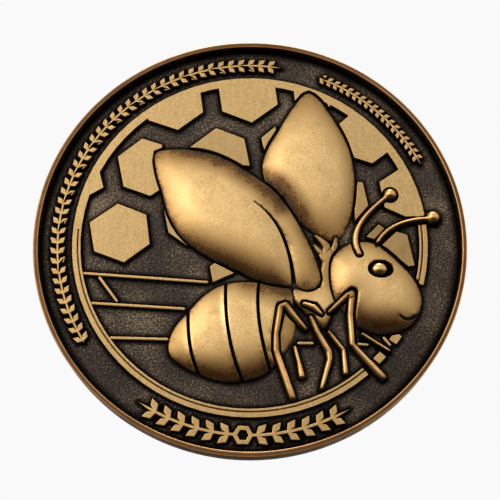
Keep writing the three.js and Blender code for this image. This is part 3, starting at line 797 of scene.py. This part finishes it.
def grown(loop, by):
    """The loop moved outwards by so many millimetres."""
    after, before = np.roll(loop, -1, axis=0), np.roll(loop, 1, axis=0)
    area = np.sum(loop[:, 0] * after[:, 1] - after[:, 0] * loop[:, 1])
    forward = after - before
    forward /= np.maximum(np.linalg.norm(forward, axis=1, keepdims=True), 1e-9)
    return loop + np.stack([forward[:, 1], -forward[:, 0]], 1) * (by if area > 0 else -by)


def crown_share(verts, faces, rounds=300):
    """A soft swelling over a flat net: 0 on its border, rising smoothly to 1 at the fullest point."""
    pairs = np.sort(np.vstack([faces[:, [0, 1]], faces[:, [1, 2]], faces[:, [2, 0]]]), axis=1)
    pairs, uses = np.unique(pairs, axis=0, return_counts=True)
    a, b = pairs[:, 0], pairs[:, 1]
    free = np.zeros(len(verts), bool)
    free[pairs.ravel()] = True
    free[pairs[uses == 1].ravel()] = False
    length = np.linalg.norm(verts[a] - verts[b], axis=1)
    stiff = np.median(length) / np.maximum(length, 1e-4)

    def pull(values):
        flow = stiff * (values[a] - values[b])
        return np.where(free, np.bincount(a, flow, len(verts)) - np.bincount(b, flow, len(verts)), 0)

    value = np.zeros(len(verts))
    left = np.where(free, 1.0, 0.0)
    search = left.copy()
    energy = left @ left
    for _ in range(rounds):
        pulled = pull(search)
        step = energy / max(search @ pulled, 1e-30)
        value += step * search
        left -= step * pulled
        fresh = left @ left
        if fresh < 1e-8 * free.sum():
            break
        search = left + fresh / energy * search
        energy = fresh
    return np.clip(value / max(value.max(), 1e-9), 0, 1)


def relief_mesh(name, solid_loops, cut_loops, rise_of, grain=GRAIN):
    """A closed piece of relief on the obverse: what lies inside any solid loop and outside every cut
    loop, raised by rise_of(points, share), where share is 0 at the outline and 1 at the crown."""
    loops = [*solid_loops, *cut_loops]
    points, edges = [], []
    for loop in loops:
        first = len(points)
        points.extend(map(tuple, loop))
        edges.extend((first + i, first + (i + 1) % len(loop)) for i in range(len(loop)))
    every = np.vstack(solid_loops)
    (x0, y0), (x1, y1) = every.min(0), every.max(0)
    row_height = grain * math.sqrt(3) / 2
    columns, rows = int((x1 - x0) / grain) + 2, int((y1 - y0) / row_height) + 2
    across, up = np.meshgrid(np.arange(columns), np.arange(rows))
    grid = np.stack([x0 + (across + 0.5 * (up % 2)) * grain, y0 + up * row_height], -1).reshape(-1, 2)
    grid = grid[np.any([inside(grid, loop) for loop in solid_loops], axis=0)]
    grid = grid[distance_to(grid, rows_of(loops)) > grain * 0.45]
    points.extend(map(tuple, grid))
    verts, _, faces, _, _, _ = delaunay_2d_cdt([Vector(p) for p in points], edges, [], 0, 1e-5)
    verts = np.array([tuple(v) for v in verts])
    faces = np.array([tuple(f) for f in faces])
    centres = verts[faces].mean(1)
    solid = np.any([inside(centres, loop) for loop in solid_loops], axis=0)
    faces, centres = faces[solid], centres[solid]
    share = crown_share(verts, faces)
    rise = rise_of(verts, share)
    if cut_loops:
        faces = faces[~np.any([inside(centres, loop) for loop in cut_loops], axis=0)]
    used, faces = np.unique(faces, return_inverse=True)
    faces = faces.reshape(-1, 3)
    verts, rise, share = verts[used], rise[used], share[used]

    count = len(verts)
    top = [to_coin(u, v, h, OBVERSE) for (u, v), h in zip(verts, rise)]
    bottom = [to_coin(u, v, -SUNK, OBVERSE) for u, v in verts]
    one, two = verts[faces[:, 1]] - verts[faces[:, 0]], verts[faces[:, 2]] - verts[faces[:, 0]]
    backward = one[:, 0] * two[:, 1] - one[:, 1] * two[:, 0] < 0
    faces[backward] = faces[backward][:, ::-1]
    sides = {(int(f[i]), int(f[(i + 1) % 3])) for f in faces for i in range(3)}
    walls = [(b, a, a + count, b + count) for a, b in sorted(sides) if (b, a) not in sides]
    polygons = [f.tolist() for f in faces] + [(f[::-1] + count).tolist() for f in faces] + walls
    mesh = bpy.data.meshes.new(name)
    mesh.from_pydata(top + bottom, [], polygons)
    piece = bare_object(name, mesh)
    set_values(piece, "share", np.concatenate([share, np.zeros(count)]))
    # The walls blacken towards the field: patina and painted shade.
    set_values(piece, "patina_and_shade", np.concatenate([np.zeros(count), np.ones(count)]))
    set_values(piece, "worn", np.zeros(2 * count))
    edit(piece)
    bpy.ops.mesh.select_all(action="SELECT")
    bpy.ops.mesh.normals_make_consistent(inside=False)
    done(piece, 40)
    return piece


FULLNESS = 0.88
CROWN_EDGE = 0.22


def dome(crown, edge=CROWN_EDGE, fullness=FULLNESS):
    """A rise that steps up by edge at the outline, then swells to crown."""
    return lambda points, share: edge + (crown - edge) * share ** fullness


def limb_ratio(points, joints, widths):
    """How far off a limb's centre line each point is, as a share of the half width there."""
    best = np.full(len(points), 9.0)
    for i in range(len(joints) - 1):
        start, end = np.array(joints[i], float), np.array(joints[i + 1], float)
        along = end - start
        t = np.clip((points - start) @ along / (along @ along), 0, 1)
        half = (widths[i] + (widths[i + 1] - widths[i]) * t) / 2
        gap = np.linalg.norm(points - start - t[:, None] * along, axis=1)
        best = np.minimum(best, gap / half)
    return best


def rounded_rise(ratio, crown, edge=CROWN_EDGE):
    """The rise of a limb with a round back, from how far off its centre line each point is."""
    return edge + (crown - edge) * np.sqrt(np.clip(1 - ratio ** 2, 0, 1))


bee_gold = gold_metal(
    "polished bee gold", (0.60, 0.36, 0.120), (0.90, 0.59, 0.25), (0.20, 0.098, 0.031),
    strokes_share=0.0, roughest=0.33)
FOOT_REACH = 0.85
TUCK_REACH = 2.6
# Painted shade on faces that lean downwards.
LEAN_PAINTED_SHADE = 1.45
LEAN_FROM = 0.05


def dress_relief(piece, tucked_under=(), tuck=0.5, dull=0.0, foot=0.52, copper=0.0):
    """Patina and painted shade stay at the foot of a crown; painted shade darkens what leans downwards, so
    there is more below than above; and patina and painted shade fill the corner where a part goes under the
    next one."""
    data = piece.data
    count = len(data.vertices)
    share, patina_and_shade = np.empty(count, np.float32), np.empty(count, np.float32)
    data.attributes["share"].data.foreach_get("value", share)
    data.attributes["patina_and_shade"].data.foreach_get("value", patina_and_shade)
    places = np.array([v.co for v in data.vertices]) / MM
    lean = np.array([-v.normal.z for v in data.vertices])
    # Patina and painted shade at the foot of each crown.
    at_foot = np.clip(1 - np.sqrt(share) / FOOT_REACH, 0, 1) * foot
    # Painted shade: faces that lean downwards are darker.
    value = at_foot + np.clip(lean - LEAN_FROM, 0, 1) * LEAN_PAINTED_SHADE + dull
    value = np.maximum(patina_and_shade, value)
    if tucked_under:
        gap = distance_to(places[:, [0, 2]], rows_of(tucked_under))
        # Patina and painted shade where a part goes under the next one.
        value = np.maximum(value, dull + tuck * np.clip(1 - gap / TUCK_REACH, 0, 1) ** 1.2)
    data.attributes["patina_and_shade"].data.foreach_set("value", np.clip(value, 0, 1).astype(np.float32))
    data.attributes["worn"].data.foreach_set("value", np.full(count, copper, np.float32))


def finish_relief(name, nodes, solid_loops, cut_loops, rise_of, grain=GRAIN, **finish):
    piece = relief_mesh(name, solid_loops, cut_loops, rise_of, grain)
    dress_relief(piece, **finish)
    hand_over(piece, bee_gold, "relief_gold", *nodes)


# The outlines of the bee's parts, drawn on the face in millimetres. They come before any of the parts,
# because the die was cut from the back to the front: each part stops at a sunk groove round whatever
# lies over it.
far_wing_loop = smooth_outline([
    (6.3, 16.6), (7.4, 15.8), (8.2, 14.6), (9.0, 13.3), (10.0, 11.3), (10.65, 9.2), (10.9, 7.2),
    (10.85, 5.2), (10.55, 3.2), (10.05, 1.5), (9.4, 0.35), (8.5, 0.0), (7.0, 0.6), (4.9, 2.3),
    (3.2, 4.6), (1.7, 6.4), (1.35, 8.4), (2.1, 10.6), (3.1, 12.3), (3.9, 13.8), (4.9, 15.3),
    (5.6, 16.2),
])
near_wing_loop = smooth_outline([
    (-9.9, 9.7), (-8.2, 10.1), (-6.3, 10.05), (-4.3, 9.7), (-2.35, 8.9), (-0.4, 7.7), (1.2, 6.5),
    (2.15, 5.8), (3.1, 4.75), (4.3, 3.0), (5.7, 0.4), (6.5, -1.5), (7.05, -3.3), (7.15, -4.3),
    (6.75, -5.0), (5.9, -5.3), (5.0, -5.05), (4.5, -4.8), (3.9, -4.85), (2.4, -4.65), (0.6, -4.15),
    (-1.4, -3.15), (-3.7, -2.1), (-5.6, -0.9), (-7.2, 0.6), (-8.4, 2.7), (-9.2, 5.5), (-9.8, 7.5),
])
wing_split_joints = [
    (0.4, 4.05), (1.3, 3.4), (2.2, 2.5), (3.35, 0.5), (4.1, -2.0), (4.45, -3.9), (4.5, -5.4),
]
wing_split_widths = [0.05, 0.16, 0.26, 0.34, 0.38, 0.46, 0.6]
wing_split = bars(*flowing(wing_split_joints, wing_split_widths))
head_loop = smooth_outline([
    (8.35, -2.4), (8.9, -1.35), (9.9, -0.55), (11.2, -0.15), (12.5, -0.25), (13.7, -0.9), (14.9, -1.95),
    (16.1, -3.3), (17.0, -4.7), (17.4, -6.2), (17.15, -7.6), (16.4, -8.8), (15.3, -9.5), (13.7, -9.85),
    (12.2, -9.7), (10.9, -9.1), (9.6, -7.7), (8.7, -6.3), (8.3, -4.6),
])
thorax_loop = smooth_outline([
    (4.5, -5.2), (5.9, -5.5), (7.2, -4.9), (7.3, -3.0), (7.6, -2.0), (8.3, -1.9), (8.3, -3.0),
    (8.15, -4.8), (8.6, -6.2), (8.3, -7.6), (7.5, -9.3), (6.6, -8.6), (5.2, -7.3), (4.55, -6.4),
], 0.18)
abdomen_loop = smooth_outline([
    (-8.15, -11.1), (-7.85, -9.8), (-7.2, -8.7), (-6.3, -7.7), (-4.9, -6.1), (-3.7, -5.2),
    (-2.4, -4.65), (-0.4, -4.45), (2.0, -4.75), (4.1, -5.3), (4.35, -7.3), (4.45, -9.9),
    (3.2, -12.2), (1.2, -14.1), (-0.8, -14.65), (-2.6, -14.7), (-5.1, -13.95), (-7.0, -12.95), (-8.0, -12.0),
])

# Joints of each leg from the body to the foot, and how wide it is at each of them.
LIMB_FATTER = 1.38
leg_shapes = {
    "leg_small": ([(4.5, -11.3), (4.9, -12.9), (5.15, -14.2)], [0.35, 0.4, 0.55]),
    "leg_thin": ([(7.95, -9.75), (9.35, -11.6), (9.5, -13.9)], [0.35, 0.4, 0.5]),
    "leg_far_front": ([(11.3, -9.95), (12.6, -10.8), (13.9, -11.65)], [0.35, 0.35, 0.35]),
    "leg_hind": (
        [(5.6, -9.4), (3.6, -6.95), (3.1, -7.1), (2.6, -9.9), (2.6, -11.6), (4.2, -16.3)],
        [0.4, 0.65, 0.6, 0.5, 0.55, 0.6]),
    "leg_middle": (
        [(6.15, -8.2), (6.8, -9.75), (7.9, -11.7), (7.95, -12.5), (7.1, -15.4)],
        [0.4, 0.5, 0.6, 0.5, 0.4]),
    "thigh_middle": ([(7.2, -7.85), (6.5, -7.15), (5.5, -6.8)], [0.35, 0.6, 0.45]),
    "leg_front": (
        [(8.0, -7.65), (9.8, -5.95), (10.35, -5.65), (10.1, -7.9), (10.25, -11.0), (13.2, -14.3)],
        [0.4, 0.55, 0.65, 0.55, 0.5, 0.65]),
}
feeler_shapes = {
    "antenna_near": (
        [(11.2, -1.5), (10.85, 0.1), (11.3, 1.7), (12.6, 3.25), (14.2, 4.7)],
        [0.5, 0.5, 0.45, 0.42, 0.42], (14.6, 4.95, 0.72)),
    "antenna_far": (
        [(13.15, -0.2), (14.0, 0.8), (15.2, 1.65), (16.8, 2.1), (18.6, 2.3)],
        [0.4, 0.42, 0.42, 0.42, 0.42], (18.95, 2.45, 0.8)),
}
leg_shapes = {
    node: (joints, [w * LIMB_FATTER for w in widths])
    for node, (joints, widths) in leg_shapes.items()
}
feeler_shapes = {
    node: (*flowing(joints, [w * LIMB_FATTER for w in widths]), knob)
    for node, (joints, widths, knob) in feeler_shapes.items()
}
leg_cuts = {node: bars(joints, widths, FINE_GROOVE) for node, (joints, widths) in leg_shapes.items()}
all_leg_cuts = [loop for loops in leg_cuts.values() for loop in loops]
feeler_cuts = []
for joints, widths, (x, y, radius) in feeler_shapes.values():
    feeler_cuts += bars(joints, widths, FINE_GROOVE)
    feeler_cuts.append(oval(x, y, radius + FINE_GROOVE, radius + FINE_GROOVE))
near_wing_cut = grown(near_wing_loop, GROOVE)
head_cut = grown(head_loop, GROOVE)
tuft_hairs = [
    *bars([(8.0, -1.7), (7.8, -0.55), (6.85, 0.45)], [1.0, 0.75, 0.34]),
    *bars([(7.9, -2.3), (7.3, -1.4), (6.65, -0.55)], [1.0, 0.6, 0.3]),
    *bars([(8.15, -1.7), (8.7, -0.8), (8.85, 0.2)], [0.9, 0.6, 0.32]),
]

# The wings: smooth full crowns, painted brightest along the middle, partly as wheel polish and partly as a
# painted highlight. Patina and painted shade make a smudge where the far wing goes behind the near one, and
# patina lies along the upper edge of the near one.
finish_relief(
    "far_wing_sculpted", ["far_wing"], [far_wing_loop],
    [near_wing_cut, head_cut, *[grown(hair, FINE_GROOVE) for hair in tuft_hairs]], dome(0.94),
    tucked_under=[near_wing_cut, head_cut], tuck=0.95)
VALLEY_TOP = 4.4
VALLEY_FULL_BELOW = 5.0
VALLEY_DEPTH = 0.58
VALLEY_REACH = 1.7


def split_rise(points, share):
    """The near wing is one swelling with a valley where its fore and hind lobes meet."""
    gap = distance_to(points, rows_of(wing_split))
    along = np.clip((VALLEY_TOP - points[:, 1]) / VALLEY_FULL_BELOW, 0, 1)
    valley = VALLEY_DEPTH * along * np.clip(1 - gap / VALLEY_REACH, 0, 1) ** 1.5
    return dome(1.07)(points, share) * (1 - valley)


upper_edge = bars([(-7.6, 10.4), (-6.0, 10.2), (-2.3, 9.1), (1.3, 6.7), (3.6, 4.2)], [0.3] * 5)
finish_relief(
    "near_wing_sculpted", ["near_fore_wing", "near_hind_wing"],
    [near_wing_loop], wing_split, split_rise, tucked_under=upper_edge, tuck=0.8)

# The thorax: a low rounded mass that shows between the wing, the head and the legs, and ends above in a tuft
# of three forked hairs. It lies deeper than its neighbours, and keeps more patina and painted shade.
finish_relief(
    "thorax_with_tuft", ["thorax", "thorax_tuft"], [thorax_loop, *tuft_hairs],
    [near_wing_cut, head_cut, *all_leg_cuts], dome(0.62, 0.34, 0.5), grain=0.14,
    tucked_under=[near_wing_cut, head_cut], tuck=0.12)

# The abdomen: one full swelling from the tail to the thorax, cut into four bands by three engraved
# lines. The tail side of each line is thrown up into a small lip, which the wheel brightens.
BAND_LINE_WIDTH = 0.36
band_lines = [
    [(-6.25, -7.0), (-6.2, -9.4), (-5.9, -11.6), (-4.9, -14.4)],
    [(-2.45, -4.3), (-2.42, -7.5), (-2.05, -10.4), (-0.6, -15.0)],
    [(0.95, -4.2), (0.8, -7.2), (1.1, -9.9), (2.15, -14.0)],
]
BAND_LIP = 0.045
BAND_LIP_WIDTH = 0.42


def band_rise(points, share):
    """One swelling, with a small raised lip on the tail side of each line between two bands."""
    rise = dome(0.95)(points, share)
    for line in band_lines:
        across, up = np.array(flowing(line, [0] * 4)[0])[::-1].T
        left_of_line = np.interp(points[:, 1], up, across) - points[:, 0]
        off_line = left_of_line - BAND_LINE_WIDTH / 2
        near = np.clip(1 - off_line / BAND_LIP_WIDTH, 0, 1) * (left_of_line > 0)
        rise += BAND_LIP * near * np.clip(share * 4, 0, 1)
    return rise


band_cuts = [loop for line in band_lines for loop in bars(*flowing(line, [BAND_LINE_WIDTH] * 4))]
finish_relief(
    "abdomen_sculpted", ["abdomen_tail", "abdomen_second", "abdomen_third", "abdomen_fourth"],
    [abdomen_loop], [near_wing_cut, grown(thorax_loop, FINE_GROOVE), *all_leg_cuts, *band_cuts],
    band_rise, grain=0.16,
    tucked_under=[near_wing_cut], tuck=0.72)

# The head: the fullest crown of the bee, with a sunk ring round the bead of the eye, an engraved
# smile, and the front leg and the feelers lying over it.
smile = np.array([
    (15.1, -7.92), (15.5, -8.2), (15.95, -8.3), (16.4, -8.15), (16.85, -7.85),
    (16.9, -7.98), (16.45, -8.38), (15.95, -8.56), (15.45, -8.42), (15.02, -8.05),
])
eye_socket = oval(13.3, -3.2, 1.35, 1.0)
EYE_EDGE = 0.3
EYE_CROWN = 0.72
finish_relief(
    "head_sculpted", ["head"], [head_loop],
    [eye_socket, smile, *leg_cuts["leg_front"], *feeler_cuts], dome(1.08),
    tucked_under=leg_cuts["leg_front"], tuck=0.35)
finish_relief(
    "eye_sculpted", ["eye"], [oval(13.2, -3.15, 0.88, 0.78)], [],
    lambda points, share: EYE_EDGE + EYE_CROWN * np.sqrt(share), grain=0.1)

# The legs and the feelers: thin rounded limbs, rubbed to copper along their backs and dark at their feet
# with patina and painted shade. Each feeler ends in a bead.
LEG_CROWN = 0.74
for node, (joints, widths) in leg_shapes.items():
    finish_relief(
        node + "_sculpted", [node], bars(joints, widths), [],
        lambda points, share: rounded_rise(limb_ratio(points, joints, widths), LEG_CROWN), grain=0.1,
        foot=0.6, copper=0.6)
for node, (joints, widths, (x, y, radius)) in feeler_shapes.items():
    def feeler_rise(points, share):
        off_knob = np.hypot(points[:, 0] - x, points[:, 1] - y) / radius
        limb = rounded_rise(limb_ratio(points, joints, widths), LEG_CROWN)
        return np.maximum(limb, rounded_rise(off_knob, 1.0, 0.2))

    finish_relief(
        node + "_sculpted", [node], [*bars(joints, widths), oval(x, y, radius, radius)], [],
        feeler_rise, grain=0.1, foot=0.45, copper=1.0)

# The reverse: a small badge of a bee seen from above, over six rows of leaves. All of it is flat
# plate at one height, a little greener and duller than the picture side.
badge_gold = gold_metal(
    "satin badge gold", (0.55, 0.375, 0.17), (0.64, 0.45, 0.22), (0.17, 0.108, 0.045),
    strokes_share=0.2, roughest=0.46)
for node in relief_names[REVERSE]:
    plate = merged_copy(node, node + "_struck")
    round_top(plate, REVERSE)
    dress_plate(plate, REVERSE, 0.03)
    hand_over(plate, badge_gold, "badge_gold", node)
